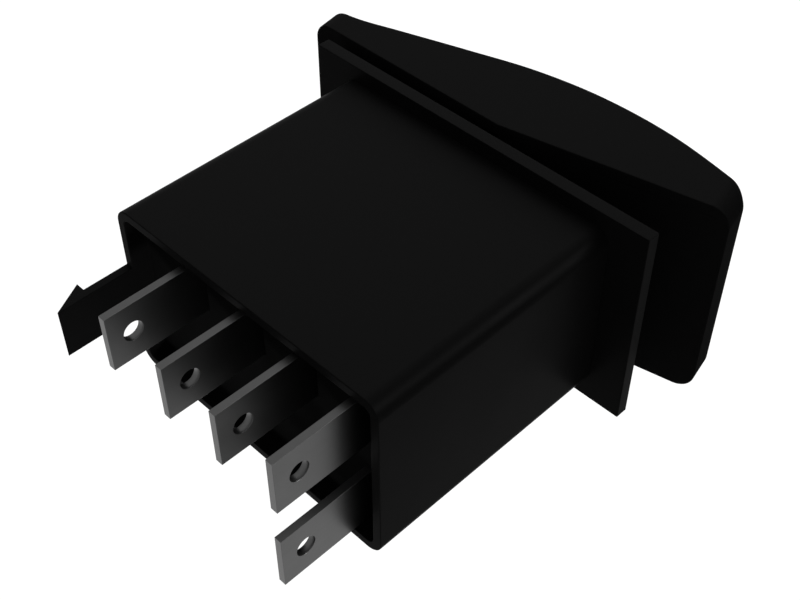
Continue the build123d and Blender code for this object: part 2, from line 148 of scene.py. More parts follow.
def moulded(name, colour, roughness, sheen, grain_depth):
    """A black moulded plastic: even grain, and a roughness that drifts a little over the part."""
    material, tree = blank(name)
    place = add(tree, "ShaderNodeTexCoord").outputs["Object"]
    grain = add(tree, "ShaderNodeTexNoise", inputs={"Vector": place, "Scale": 1 / GRAIN, "Detail": 3.0})
    flow = add(tree, "ShaderNodeTexNoise", inputs={"Vector": place, "Scale": 1 / FLOW, "Detail": 2.0})
    rough = add(tree, "ShaderNodeMapRange", inputs={
        "Value": flow.outputs["Fac"], "From Min": NOISE_LOW, "From Max": NOISE_HIGH,
        "To Min": roughness - FLOW_ROUGHNESS, "To Max": roughness + FLOW_ROUGHNESS})
    shade = add(tree, "ShaderNodeMix", {"data_type": "RGBA"}, {
        "Factor": grain.outputs["Fac"],
        6: toned(colour, 1 - GRAIN_TONE),
        7: toned(colour, 1 + GRAIN_TONE)})
    bump = add(tree, "ShaderNodeBump", inputs={
        "Height": grain.outputs["Fac"], "Strength": GRAIN_BUMP, "Distance": grain_depth})
    shader = add(tree, "ShaderNodeBsdfPrincipled", inputs={
        "Base Color": shade.outputs[2], "Roughness": rough.outputs["Result"],
        "Specular IOR Level": sheen, "IOR": PLASTIC_IOR, "Normal": bump.outputs["Normal"]})
    add(tree, "ShaderNodeOutputMaterial", inputs={"Surface": shader.outputs["BSDF"]})
    return material


nylon_case = moulded("moulded_nylon_case", "#141414", 0.38, 0.004, 0.004 * MM)
nylon_base = moulded("moulded_nylon_base", "#141414", 0.65, 0.0, 0.012 * MM)
rocker_plastic = moulded("moulded_rocker_plastic", "#161616", 0.5, 0.00015, 0.006 * MM)
carrier_plastic = moulded("moulded_acetal_carrier", "#161616", 0.6, 0.0, 0.006 * MM)
print("plastics", nylon_case.name, nylon_base.name, rocker_plastic.name, carrier_plastic.name)

# %% [markdown]
# ## Stamped and drawn metal
# The tabs are stamped from copper alloy strip, 0.8 mm thick, with a dull tin plating. The strip was
# rolled along the tab's length, which leaves very faint straight streaks. An anisotropic shader
# could spread the gloss along the strip, but streaks this faint are better drawn by a noise that is
# stretched along one direction, which looks the same from every side. The picture shows the plating
# dark grey and smooth: bright where it mirrors the open white surroundings and black where it
# mirrors the recess, with a soft change between, so its colour is dark and its roughness moderate.
# The other metals are inside: a copper see-saw, silver buttons, a ground steel pin dulled by grease,
# a steel spring and tinned wires. The streaks run along Y unless the piece lies another way.

# %% Define the metals
STREAK = 0.12 * MM
STREAK_LENGTH = 9.0 * MM
STREAK_ROUGHNESS = 0.03
STREAK_BUMP = 0.05
STREAK_DEPTH = 0.004 * MM
STAIN = 2.5 * MM
STAIN_TONE = 0.1


def streaked_metal(name, colour, roughness, along=(0.0, 1.0, 0.0)):
    """A metal with fine streaks along one direction of the part, and faint stains."""
    material, tree = blank(name)
    place = add(tree, "ShaderNodeTexCoord").outputs["Object"]
    scale = [1 / STREAK_LENGTH if part else 1 / STREAK for part in along]
    stretched = add(tree, "ShaderNodeVectorMath", {"operation": "MULTIPLY"}, {0: place, 1: scale})
    streaks = add(tree, "ShaderNodeTexNoise", inputs={
        "Vector": stretched.outputs[0], "Scale": 1.0, "Detail": 4.0, "Roughness": 0.6})
    stains = add(tree, "ShaderNodeTexNoise", inputs={"Vector": place, "Scale": 1 / STAIN, "Detail": 3.0})
    rough = add(tree, "ShaderNodeMapRange", inputs={
        "Value": streaks.outputs["Fac"], "From Min": NOISE_LOW, "From Max": NOISE_HIGH,
        "To Min": roughness - STREAK_ROUGHNESS, "To Max": roughness + STREAK_ROUGHNESS})
    shade = add(tree, "ShaderNodeMix", {"data_type": "RGBA"}, {
        "Factor": stains.outputs["Fac"],
        6: toned(colour, 1 - STAIN_TONE),
        7: toned(colour, 1 + STAIN_TONE)})
    bump = add(tree, "ShaderNodeBump", inputs={
        "Height": streaks.outputs["Fac"], "Strength": STREAK_BUMP, "Distance": STREAK_DEPTH})
    shader = add(tree, "ShaderNodeBsdfPrincipled", inputs={
        "Base Color": shade.outputs[2], "Metallic": 1.0, "Roughness": rough.outputs["Result"],
        "Normal": bump.outputs["Normal"]})
    add(tree, "ShaderNodeOutputMaterial", inputs={"Surface": shader.outputs["BSDF"]})
    return material


tin_plate = streaked_metal("tin_plated_strip", "#4C4C4C", 0.36)
copper_strip = streaked_metal("copper_alloy_strip", "#C08A58", 0.28, along=(1.0, 0.0, 0.0))
silver = streaked_metal("silver_contact_alloy", "#D8D8D4", 0.3)
ground_steel = streaked_metal("ground_steel_pin", "#4A4A4C", 0.3, along=(0.0, 0.0, 1.0))
spring_steel = streaked_metal("drawn_spring_steel", "#8C8C90", 0.3)
tinned_wire = streaked_metal("tinned_copper_wire", "#B4B4B0", 0.3)
print("metals", tin_plate.name, copper_strip.name, silver.name, ground_steel.name)

# %% [markdown]
# ## Glass, enamel and natural nylon
# The lamp behind the lens is tinted glass, the resistor is coated with tan enamel, and the plunger
# is natural nylon, which is milky. All three are one smooth material with a faint swirl in it, and
# differ in how much light goes through: most in the glass, a little in the nylon, none in the enamel.

# %% Define the glass, the enamel and the nylon
SWIRL = 1.2 * MM
SWIRL_TONE = 0.12
SWIRL_ROUGHNESS = 0.3


def swirled(name, colour, roughness, through, ior):
    """A smooth material with a faint swirl that lets a share of the light through."""
    material, tree = blank(name)
    place = add(tree, "ShaderNodeTexCoord").outputs["Object"]
    swirl = add(tree, "ShaderNodeTexNoise", inputs={"Vector": place, "Scale": 1 / SWIRL, "Detail": 2.0})
    shade = add(tree, "ShaderNodeMix", {"data_type": "RGBA"}, {
        "Factor": swirl.outputs["Fac"],
        6: toned(colour, 1 - SWIRL_TONE),
        7: toned(colour, 1 + SWIRL_TONE)})
    rough = add(tree, "ShaderNodeMapRange", inputs={
        "Value": swirl.outputs["Fac"],
        "To Min": roughness * (1 - SWIRL_ROUGHNESS), "To Max": roughness * (1 + SWIRL_ROUGHNESS)})
    shader = add(tree, "ShaderNodeBsdfPrincipled", inputs={
        "Base Color": shade.outputs[2], "Roughness": rough.outputs["Result"], "IOR": ior,
        "Transmission Weight": through})
    add(tree, "ShaderNodeOutputMaterial", inputs={"Surface": shader.outputs["BSDF"]})
    return material


lamp_glass = swirled("tinted_lamp_glass", "#F2C98A", 0.05, 0.8, 1.5)
enamel = swirled("tan_resistor_enamel", "#BFA079", 0.3, 0.0, 1.5)
natural_nylon = swirled("natural_nylon_plunger", "#D9D6C8", 0.4, 0.15, 1.53)
print("inside", lamp_glass.name, enamel.name, natural_nylon.name)

# %% [markdown]
# ## Amber lens
# The lens in the rocker's front is amber polycarbonate with a polished face and fine ribs on its
# back, which spread the lamp's light. Light goes a little way in, so the colour looks deep. Ribs on
# the back would be many small faces that only the lamp sees, so they are not modelled: a wave texture
# paints their shade into the colour as darker lines 0.8 mm apart, and bumps the face a little. Its
# bands repeat 20 times in 2 pi units, and its scale follows from that and from the ribs' spacing.

# %% Define the lens
RIB = 0.8 * MM
BANDS = 20
# The share of the colour that is left in the painted shade of the ribs.
RIB_PAINTED_SHADE = 0.4
RIB_BUMP = 0.4
RIB_DEPTH = 0.02 * MM
LENS_SHEEN = 0.15
POLYCARBONATE_IOR = 1.58


def ribbed_lens(name, colour, roughness, through):
    """A clear coloured plastic whose back ribs are painted into its colour as darker lines of shade."""
    material, tree = blank(name)
    place = add(tree, "ShaderNodeTexCoord").outputs["Object"]
    ribs = add(tree, "ShaderNodeTexWave", {"bands_direction": "Z"}, {
        "Vector": place, "Scale": 2 * math.pi / (BANDS * RIB), "Distortion": 0.0})
    # Painted shade: the bands darken the colour where the ribs on the back would bend the light away.
    shade = add(tree, "ShaderNodeMix", {"data_type": "RGBA"}, {
        "Factor": ribs.outputs["Fac"],
        6: toned(colour, RIB_PAINTED_SHADE),
        7: linear(colour)})
    bump = add(tree, "ShaderNodeBump", inputs={
        "Height": ribs.outputs["Fac"], "Strength": RIB_BUMP, "Distance": RIB_DEPTH})
    shader = add(tree, "ShaderNodeBsdfPrincipled", inputs={
        "Base Color": shade.outputs[2], "Roughness": roughness, "IOR": POLYCARBONATE_IOR,
        "Specular IOR Level": LENS_SHEEN, "Transmission Weight": through,
        "Normal": bump.outputs["Normal"]})
    add(tree, "ShaderNodeOutputMaterial", inputs={"Surface": shader.outputs["BSDF"]})
    return material


amber_lens = ribbed_lens("amber_polycarbonate_lens", "#E0560A", 0.12, 0.3)
print("lens", amber_lens.name, "ribs every", round(RIB / MM, 2), "mm")

# %% [markdown]
# ## From an outline to a solid
# Moulded and stamped pieces are mostly flat outlines pushed through a thickness. They could be
# pulled out of a cube by hand, but then their sizes would be lost among the vertices. So a function
# takes an outline in millimetres and pushes it along an axis, and others draw the usual outlines.
# The axis may also be a function that places a point, for an outline on a sloping face.

# %% Push an outline along an axis
AXES = {
    "x": lambda a, b, c: Vector((c, a, b)) * MM,
    "y": lambda a, b, c: Vector((a, c, b)) * MM,
    "z": lambda a, b, c: Vector((a, b, c)) * MM,
}


def prism(name, outline, axis, low, high):
    """A solid: an outline in millimetres pushed from low to high along an axis or a place function."""
    place = AXES.get(axis, axis)
    shape = bmesh.new()
    bottom = [shape.verts.new(place(a, b, low)) for a, b in outline]
    top = [shape.verts.new(place(a, b, high)) for a, b in outline]
    shape.faces.new(bottom)
    shape.faces.new(list(reversed(top)))
    for i in range(len(outline)):
        j = (i + 1) % len(outline)
        shape.faces.new([bottom[j], bottom[i], top[i], top[j]])
    bmesh.ops.recalc_face_normals(shape, faces=shape.faces)
    mesh = bpy.data.meshes.new(name)
    shape.to_mesh(mesh)
    shape.free()
    piece = bpy.data.objects.new(name, mesh)
    bpy.context.scene.collection.objects.link(piece)
    return piece


print("outlines can be pushed along", *AXES)

# %% Draw the usual outlines


def between(across, up):
    """The outline of a rectangle from its two limits across and its two limits up."""
    return [(across[1], up[1]), (across[0], up[1]), (across[0], up[0]), (across[1], up[0])]


def rectangle(length, height, corner=0.0, middle=(0.0, 0.0), steps=10):
    """The outline of a rectangle, with round corners where corner is more than zero."""
    points = []
    for quarter in range(4):
        side_a = 1 if quarter in (0, 3) else -1
        side_b = 1 if quarter < 2 else -1
        centre_a = middle[0] + side_a * (length / 2 - corner)
        centre_b = middle[1] + side_b * (height / 2 - corner)
        for step in range(steps + 1 if corner else 1):
            angle = math.radians(90 * (quarter + step / steps))
            points.append((centre_a + corner * math.cos(angle), centre_b + corner * math.sin(angle)))
    return points


def circle(radius, middle=(0.0, 0.0), steps=40):
    """The outline of a circle."""
    turns = [2 * math.pi * step / steps for step in range(steps)]
    return [(middle[0] + radius * math.cos(turn), middle[1] + radius * math.sin(turn)) for turn in turns]


print("corners of a round rectangle", len(rectangle(2.0, 1.0, 0.2)), "and of a circle", len(circle(1.0)))

# %% [markdown]
# ## Joining and cutting
# A mould makes one piece out of many simple forms, and a press tool punches holes. Blender's exact
# Boolean does both, and it is applied at once, so that each step starts from a plain mesh. A tool
# that cuts runs a little past what it cuts, because faces that lie in one plane cut badly.

# %% Join and cut solids
PAST = 1.0


def combine(piece, tool, operation):
    """Joins, cuts or intersects piece with tool, and drops the tool."""
    change = piece.modifiers.new("combine", "BOOLEAN")
    change.operation = operation
    change.solver = "EXACT"
    change.object = tool
    sight = bpy.context.evaluated_depsgraph_get()
    mesh = bpy.data.meshes.new_from_object(piece.evaluated_get(sight))
    piece.modifiers.clear()
    piece.data = mesh
    bpy.data.objects.remove(tool)
    return piece


print("cutters run at least", PAST, "mm past what they cut")

# %% [markdown]
# ## Round edges
# Without rounds every edge would be a black line with no light on it, which real edges never are.
# The rounding is a Bevel modifier that reads a weight on each edge, so that a thin tip gets a small
# round while the rest gets the usual one, and it stays a modifier, so that its width can still be
# changed. All faces are then shaded smooth, with normals weighted by face size, which keeps the flat
# faces flat. An edge whose weight is zero stays sharp.

# %% Round the sharp edges
SHARP = math.radians(32)
SAME_POINT = 0.0005 * MM


def round_edges(piece, width, weight_of=None, steps=3):
    """Rounds the sharp edges: width in millimetres times the weight that weight_of gives a point."""
    shape = bmesh.new()
    shape.from_mesh(piece.data)
    bmesh.ops.remove_doubles(shape, verts=shape.verts, dist=SAME_POINT)
    weights = shape.edges.layers.float.new("bevel_weight_edge")
    for edge in shape.edges:
        sharp = len(edge.link_faces) == 2 and edge.calc_face_angle(0.0) > SHARP
        middle = (edge.verts[0].co + edge.verts[1].co) / 2 / MM
        edge[weights] = (weight_of(middle) if weight_of else 1.0) if sharp else 0.0
        edge.smooth = not (sharp and edge[weights] == 0.0)
    for face in shape.faces:
        face.smooth = True
    shape.to_mesh(piece.data)
    shape.free()
    bevel = piece.modifiers.new("round_edges", "BEVEL")
    bevel.width = width * MM
    bevel.segments = steps
    bevel.limit_method = "WEIGHT"
    bevel.use_clamp_overlap = False
    normals = piece.modifiers.new("even_shading", "WEIGHTED_NORMAL")
    normals.keep_sharp = True
    return piece


print("edges count as sharp above", round(math.degrees(SHARP)), "degrees")

# %% [markdown]
# ## Body and solid
# A new piece has to move like the solid that it stands for. So each piece is given its material, the
# body that it rides on, and the solids that it hides.

# %% Dress a piece


def dress(piece, material, body, slot, *stands_for):
    """Gives a piece its material, its body and the solids that it stands for. The slot is not used."""
    piece.data.materials.clear()
    piece.data.materials.append(material)
    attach(piece, body)
    if stands_for:
        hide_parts(*stands_for)
    print(piece.name, len(piece.data.polygons), "faces before rounding")
    return piece


# %% [markdown]
# ## Housing
# The case, the flange, the latch arm, the two ears for the pivot pin and the bars that stop the
# rocker come out of one mould, so they are one mesh here. Separate pieces pushed into each other
# would look much the same, but they would leave walls inside walls and no round edge where they
# meet. The case is a tube with round corners and thin walls, open at both ends, and it starts inside
# the flange so that the two join well.

# %% Make the flange and the case
FLANGE_LENGTH = 42.7
FLANGE_HEIGHT = 23.9
FLANGE_THICKNESS = 1.45
CASE_LENGTH = 34.6
CASE_HEIGHT = 20.4
CASE_DEPTH = 29.1
CASE_CORNER = 1.8
WALL = 1.0
INNER_LENGTH = CASE_LENGTH - 2 * WALL
INNER_HEIGHT = CASE_HEIGHT - 2 * WALL
ROOT = 0.5
HOLLOW_PAST = 5.0

housing = prism("case_moulding", rectangle(FLANGE_LENGTH, FLANGE_HEIGHT), "y", -FLANGE_THICKNESS, 0.0)
tube = prism("case_tube", rectangle(CASE_LENGTH, CASE_HEIGHT, CASE_CORNER), "y", -ROOT, CASE_DEPTH)
combine(housing, tube, "UNION")
hollow = rectangle(INNER_LENGTH, INNER_HEIGHT, CASE_CORNER - WALL)
combine(housing, prism("hollow", hollow, "y", -HOLLOW_PAST, CASE_DEPTH + HOLLOW_PAST), "DIFFERENCE")
print("flange and case", len(housing.data.polygons), "faces")

# %% [markdown]
# The latch arm is simply the end wall carried on past the rim. Its barb points away from the tabs,
# with a square shoulder that holds the connector and a slope that lets it snap on.

# %% Make the latch arm
ARM_WIDTH = 5.8
ARM_END = 37.6
BARB_FRONT = 34.1
BARB_HEIGHT = 1.0
ARM_TIP = 0.1
ARM_ROOT = 27.5
WALL_FACE = CASE_LENGTH / 2

arm = [
    (WALL_FACE - WALL, ARM_ROOT), (WALL_FACE, ARM_ROOT), (WALL_FACE, BARB_FRONT),
    (WALL_FACE + BARB_HEIGHT, BARB_FRONT), (WALL_FACE - WALL + ARM_TIP, ARM_END), (WALL_FACE - WALL, ARM_END),
]
combine(housing, prism("latch_arm", arm, "z", -ARM_WIDTH / 2, ARM_WIDTH / 2), "UNION")
print("latch arm reaches y", ARM_END)

# %% [markdown]
# In front of the case stand two ears with a hole for the pin, each a round eye on a straight stalk,
# and a foot joins the stalk to the long wall. Two bars lie across the case's mouth, and the nubs
# below the rocker come down on them.

# %% Make the ears and the stop bars
PIVOT_Y = -3.1
EAR_INNER = 7.5
EAR_THICKNESS = 1.3
EAR_RADIUS = 2.5
EAR_ROOT = 4.0
PIN_RADIUS = 1.0
STOP_BAR_X = 9.0
STOP_BAR_WIDTH = 3.0
STOP_BAR_Y = (-0.75, 0.8)
IN_WALL = INNER_HEIGHT / 2 + WALL / 2

for side in (1, -1):
    low, high = sorted((side * EAR_INNER, side * (EAR_INNER + EAR_THICKNESS)))
    ear = prism("ear", circle(EAR_RADIUS, (0.0, PIVOT_Y)), "z", low, high)
    stalk = between((-EAR_RADIUS, EAR_RADIUS), (PIVOT_Y, EAR_ROOT))
    combine(ear, prism("ear_stalk", stalk, "z", low, high), "UNION")
    foot = between((-EAR_RADIUS, EAR_RADIUS), (-FLANGE_THICKNESS, EAR_ROOT))
    combine(ear, prism("ear_foot", foot, "z", *sorted((side * EAR_INNER, side * IN_WALL))), "UNION")
    combine(housing, ear, "UNION")
    bar_middle = side * STOP_BAR_X
    bar = between((bar_middle - STOP_BAR_WIDTH / 2, bar_middle + STOP_BAR_WIDTH / 2), STOP_BAR_Y)
    combine(housing, prism("stop_bar", bar, "z", -IN_WALL, IN_WALL), "UNION")
pin_hole = prism("pin_hole", circle(PIN_RADIUS, (0.0, PIVOT_Y)), "z", -FLANGE_HEIGHT / 2, FLANGE_HEIGHT / 2)
combine(housing, pin_hole, "DIFFERENCE")
print("ears and stop bars", len(housing.data.polygons), "faces")

# %% [markdown]
# The flange is sharp-cornered in the picture, and all its edges are only just broken, so the widest
# round is 0.1 mm. The arm's tip is thinner than that and gets a quarter of it. The corner between
# the case and the flange looks inward: a round there would draw a light line that the picture
# doesn't have, so its weight is zero.

# %% Round the housing's edges
BROKEN_EDGE = 0.1
TIP_FROM = 33.5
TIP_WEIGHT = 0.25
MOUTH_TO = 6.0
MOUTH_WEIGHT = 0.6
SEAT_DEPTH = 0.05
RIM = 1.0


def housing_weight(point):
    """Less rounding on the arm's thin tip and in the mouth, none where the case meets the flange."""
    if point.y > TIP_FROM:
        return TIP_WEIGHT
    off_rim = abs(point.x) < FLANGE_LENGTH / 2 - RIM and abs(point.z) < FLANGE_HEIGHT / 2 - RIM
    if abs(point.y) < SEAT_DEPTH and off_rim:
        return 0.0
    in_mouth = abs(point.x) < INNER_LENGTH / 2 and point.y < MOUTH_TO
    return MOUTH_WEIGHT if in_mouth else 1.0


round_edges(housing, BROKEN_EDGE, housing_weight)
dress(housing, nylon_case, "switch", "case_plastic", "housing")

# %% [markdown]
# ## Rocker
# The rocker's long side view decides its look: a shallow V below, end faces square to it, and a
# front that is convex but no circle, flatter towards the pressed end. A subdivision surface would
# soften the flat sides too, so the side view is drawn as an outline and pushed through the width. A
# smooth curve through a few measured points gives its front.

# %% Draw the rocker's side view
FRONT = [
    (25.5, -5.75), (21.7, -6.392), (17.2, -7.869), (9.775, -10.297), (2.325, -12.534), (-5.364, -13.7),
    (-13.59, -13.614), (-21.575, -12.223), (-23.714, -11.425),
]
UNDERSIDE = [(-24.43, -8.122), (-0.82, -3.0), (25.0, -3.0)]
FRONT_STEPS = 8
SHORTEST = 1e-4


def smooth_curve(points, steps):
    """Points on a smooth curve through the given ones, which may be unevenly spaced."""
    curve = []
    last = len(points) - 2
    for i in range(last + 1):
        before = Vector(points[max(i - 1, 0)])
        here = Vector(points[i])
        there = Vector(points[i + 1])
        after = Vector(points[min(i + 2, last + 1)])
        knots = [0.0]
        for start, end in ((before, here), (here, there), (there, after)):
            knots.append(knots[-1] + max((end - start).length, SHORTEST) ** 0.5)
        span = knots[2] - knots[1]
        leaving = (there - before) / (knots[2] - knots[0]) if i > 0 else (there - here) / span
        arriving = (after - here) / (knots[3] - knots[1]) if i < last else (there - here) / span
        for step in range(steps):
            t = step / steps
            point = here * (2 * t ** 3 - 3 * t ** 2 + 1) + leaving * span * (t ** 3 - 2 * t ** 2 + t)
            point = point + there * (3 * t ** 2 - 2 * t ** 3)
            point = point + arriving * span * (t ** 3 - t ** 2)
            curve.append(tuple(point))
    curve.append(tuple(points[-1]))
    return curve


front_curve = smooth_curve(FRONT, FRONT_STEPS)
print("front curve", len(front_curve), "points")

# %% [markdown]
# Seen from the front, the rocker's four corners have a large radius. Each end face slopes, so the
# corners are cut square to that slope: a cutter with a hollow quarter circle is placed on the end
# face and taken away on either side.

# %% Make the shell and round its corners
ROCKER_WIDTH = 23.9
ROCKER_CORNER = 2.1
CORNER_STEPS = 12
CUT_BELOW = -3.0
CUT_ABOVE = 8.0

rocker_side = front_curve + UNDERSIDE
rocker = prism("rocker_shell", rocker_side, "z", -ROCKER_WIDTH / 2, ROCKER_WIDTH / 2)


def cut_end_corners(piece, foot, front_corner, radius):
    """Rounds the two corners between one end face and the sides, square to the end face's slope."""
    start = Vector((*foot, 0.0))
    slope = (Vector((*front_corner, 0.0)) - start).normalized()
    inward = Vector((-slope.y, slope.x, 0.0))
    if inward.x * start.x > 0:
        inward = -inward

    def on_end(u, z, t):
        return (start + inward * u + slope * t + Vector((0, 0, z))) * MM

    edge = ROCKER_WIDTH / 2
    arc = [math.radians(180 - 90 * step / CORNER_STEPS) for step in range(CORNER_STEPS + 1)]
    outline = [(-PAST, edge + PAST), (-PAST, edge - radius)]
    outline += [(radius + radius * math.cos(turn), edge - radius + radius * math.sin(turn)) for turn in arc]
    outline.append((radius, edge + PAST))
    for side in (1, -1):
        sided = [(u, side * z) for u, z in outline]
        combine(piece, prism("corner_cutter", sided, on_end, CUT_BELOW, CUT_ABOVE), "DIFFERENCE")


cut_end_corners(rocker, UNDERSIDE[0], FRONT[-1], ROCKER_CORNER)
cut_end_corners(rocker, UNDERSIDE[-1], FRONT[0], ROCKER_CORNER)
print("rocker with round corners", len(rocker.data.polygons), "faces")

# %% [markdown]
# A moulding of this size is a thin shell, or it would sink in as it cools. The pocket follows the
# front at the wall's thickness and runs out through the underside, where the carrier's plate closes
# it. A window in the raised half takes the lens.

# %% Hollow the shell and cut the window
SHELL = 1.2
PLATE_SEAL = 0.02
POCKET_ENDS = (-22.4, 23.8)
POCKET_BELOW = [(-22.6, -10.45), (-23.44, -6.7), (-0.82, -1.8), (23.78, -1.8), (23.78, -4.75)]
LENS_LENGTH = 5.0
LENS_HEIGHT = 8.0
LENS_X = -13.4
LENS_CORNER = 0.5
WINDOW_REACH = (-20.0, -9.0)

pocket_width = ROCKER_WIDTH - 2 * (SHELL + PLATE_SEAL)
pocket = [(a, b + SHELL) for a, b in front_curve if POCKET_ENDS[0] < a < POCKET_ENDS[1]] + POCKET_BELOW
combine(rocker, prism("pocket", pocket, "z", -pocket_width / 2, pocket_width / 2), "DIFFERENCE")
window = rectangle(LENS_LENGTH, LENS_HEIGHT, LENS_CORNER, (LENS_X, 0.0))
combine(rocker, prism("window", window, "y", *WINDOW_REACH), "DIFFERENCE")
print("hollow rocker", len(rocker.data.polygons), "faces")

# %% [markdown]
# The edges in view are broken as those of the housing are. Inside, the pocket's rim stays sharp,
# because the carrier's plate lies against it with hardly any room, and the window's edge is thin and
# gets half the usual round.

# %% Round the rocker's edges
POCKET_EDGE = (-23.4, 24.5)
POCKET_MARGIN = 0.1
WINDOW_WEIGHT = 0.5


def rocker_weight(point):
    """No rounding where the carrier's plate meets the shell, less round the window."""
    across = abs(point.z) < ROCKER_WIDTH / 2 - SHELL + POCKET_MARGIN
    if across and POCKET_EDGE[0] < point.x < POCKET_EDGE[1]:
        return WINDOW_WEIGHT if abs(point.x - LENS_X) < LENS_LENGTH else 0.0
    return 1.0


round_edges(rocker, BROKEN_EDGE, rocker_weight)
dress(rocker, rocker_plastic, "rocker", "rocker_plastic", "rocker_cap")

# %% [markdown]
# ## Push-on tabs
# Each tab is a strip that goes through the base: blade, shoulder and neck in one outline, with the
# round hole that a push-on receptacle's dimple snaps into. The two throw tabs bend over inside to
# carry a contact button, and the common tab ends in a fork with a knife edge between its horns. One
# function makes all five, as one press tool does with its inserts.

# %% Define a tab
BLADE_WIDTH = 6.35
BLADE_THICKNESS = 0.8
TAB_END = 37.7
HOLE_RADIUS = 1.05
HOLE_FROM_END = 2.63
SHOULDER_HALF = 3.6
SHOULDER_LENGTH = 0.9
BASE_FRONT = 21.0
CUT_REACH = 2.0


def tab(name, x, z, inner_end, neck_width):
    """One straight tab with its hole, from its inner end to its blade's end."""
    half_blade = BLADE_WIDTH / 2
    half_neck = neck_width / 2
    shoulder_front = BASE_FRONT - SHOULDER_LENGTH
    outline = [
        (TAB_END, z - half_blade), (TAB_END, z + half_blade), (BASE_FRONT, z + half_blade),
        (BASE_FRONT, z + SHOULDER_HALF), (shoulder_front, z + SHOULDER_HALF), (shoulder_front, z + half_neck),
        (inner_end, z + half_neck), (inner_end, z - half_neck),
        (shoulder_front, z - half_neck), (shoulder_front, z - SHOULDER_HALF), (BASE_FRONT, z - SHOULDER_HALF),
        (BASE_FRONT, z - half_blade),
    ]
    piece = prism(name, outline, "x", x - BLADE_THICKNESS / 2, x + BLADE_THICKNESS / 2)
    hole = circle(HOLE_RADIUS, (TAB_END - HOLE_FROM_END, z))
    return combine(piece, prism("tab_hole", hole, "x", x - CUT_REACH, x + CUT_REACH), "DIFFERENCE")


print("tab holes at y", round(TAB_END - HOLE_FROM_END, 2))

# %% Define the bent platform of a throw tab
BEND_RADIUS = 0.5
BEND_STEPS = 8
BEND_OVERLAP = 0.6


def bent_platform(x, z, width, tip_x, face_y, leg_y):
    """The neck's end, bent square to it, as one strip from the leg to the platform's tip."""
    way = -1 if tip_x < x else 1
    outer = BEND_RADIUS + BLADE_THICKNESS
    centre_x = x + way * (BLADE_THICKNESS / 2 + BEND_RADIUS)
    centre_y = face_y + outer
    turns = [math.radians(90 * step / BEND_STEPS) for step in range(BEND_STEPS + 1)]

    def bend(radius):
        return [
            (centre_x - way * radius * math.cos(turn), centre_y - radius * math.sin(turn))
            for turn in turns
        ]

    outline = [(x - way * BLADE_THICKNESS / 2, leg_y + BEND_OVERLAP), *bend(outer)]
    outline += [(tip_x, face_y), (tip_x, face_y + BLADE_THICKNESS), *reversed(bend(BEND_RADIUS))]
    outline.append((x + way * BLADE_THICKNESS / 2, leg_y + BEND_OVERLAP))
    return prism("platform", outline, "z", z - width / 2, z + width / 2)


print("outer bend radius", BEND_RADIUS + BLADE_THICKNESS)

# %% [markdown]
# A press tool rolls the edges of such blades a little, so they get a small round all over and take a
# thin bright line of light. The table gives each tab's place, the end of its neck, the neck's width
# and, for the two throw tabs, the tip and the face of the platform.

# %% Make the five tabs
ROW = 5.2
NECK = 4.4
LAMP_NECK = 3.6
FORK_FLOOR = 11.467
FORK_LENGTH = 4.0
FORK_ROOM = 0.15
ROLLED_EDGE = 0.03
TABS = {
    "terminal_throw_a": (7.96, ROW, 14.84, NECK, (6.0, 13.535)),
    "terminal_common": (0.0, ROW, 10.217, BLADE_WIDTH, None),
    "terminal_throw_b": (-7.0, ROW, 14.873, NECK, (-9.0, 13.573)),
    "terminal_lamp_feed": (-13.95, ROW, 16.6, LAMP_NECK, None),
    "terminal_lamp_return": (-13.95, -ROW, 16.6, LAMP_NECK, None),
}

for node, (x, z, inner_end, neck_width, platform) in TABS.items():
    strip = tab(node.replace("terminal", "tab"), x, z, inner_end, neck_width)
    if platform:
        combine(strip, bent_platform(x, z, neck_width, *platform, inner_end), "UNION")
    if node == "terminal_common":
        half_fork = NECK / 2 + FORK_ROOM
        fork = between((FORK_FLOOR - FORK_LENGTH, FORK_FLOOR), (z - half_fork, z + half_fork))
        combine(strip, prism("fork", fork, "x", x - CUT_REACH, x + CUT_REACH), "DIFFERENCE")
    round_edges(strip, ROLLED_EDGE, steps=2)
    dress(strip, tin_plate, "switch", "tab_metal", node)

# %% [markdown]
# ## Base
# The block that holds the tabs closes the case two millimetres below its rim. Each tab comes out of
# a slot with a little room round it, which is what leaves the thin dark line round every blade. A
# line painted round the blades would do for one view, but real slots are right from all sides. The
# block's front is relieved below the throw tabs, where nothing passes through.

# %% Make the base
BASE_BACK = 27.0
BASE_FIT = 0.03
BASE_CORNER = 0.8
SLOT_ROOM = 0.05
RELIEF_DEPTH = 1.6
THROW_A_X = TABS["terminal_throw_a"][0]
THROW_B_X = TABS["terminal_throw_b"][0]

block = rectangle(INNER_LENGTH - 2 * BASE_FIT, INNER_HEIGHT - 2 * BASE_FIT, BASE_CORNER)
base = prism("terminal_block", block, "y", BASE_FRONT, BASE_BACK)
for x, z, *_ in TABS.values():
    slot = rectangle(BLADE_THICKNESS + 2 * SLOT_ROOM, BLADE_WIDTH + 2 * SLOT_ROOM, 0.0, (x, z))
    combine(base, prism("slot", slot, "y", BASE_FRONT - PAST, BASE_BACK + PAST), "DIFFERENCE")
relief_length = THROW_A_X - THROW_B_X + SHOULDER_LENGTH
relief = rectangle(relief_length, BLADE_WIDTH, 0.0, ((THROW_A_X + THROW_B_X) / 2, -ROW))
combine(base, prism("relief", relief, "y", BASE_FRONT - PAST, BASE_FRONT + RELIEF_DEPTH), "DIFFERENCE")
round_edges(base, BROKEN_EDGE, steps=2)
dress(base, nylon_base, "switch", "base_plastic", "terminal_base")

# %% [markdown]
# ## Lens
# The window in the rocker's front is filled by a lens that is flush with the front. It could be a
# flat plate, but then the front's curve would break at the window. So its face follows the same
# curve, a hair lower, with more points, because a polished face shows every flat. Its back is flat.

# %% Make the lens
LENS_FIT = 0.03
LENS_SINK = 0.02
LENS_STEPS = 24
LENS_BACK = (-10.9, -11.1)
LENS_MARGIN = 0.05

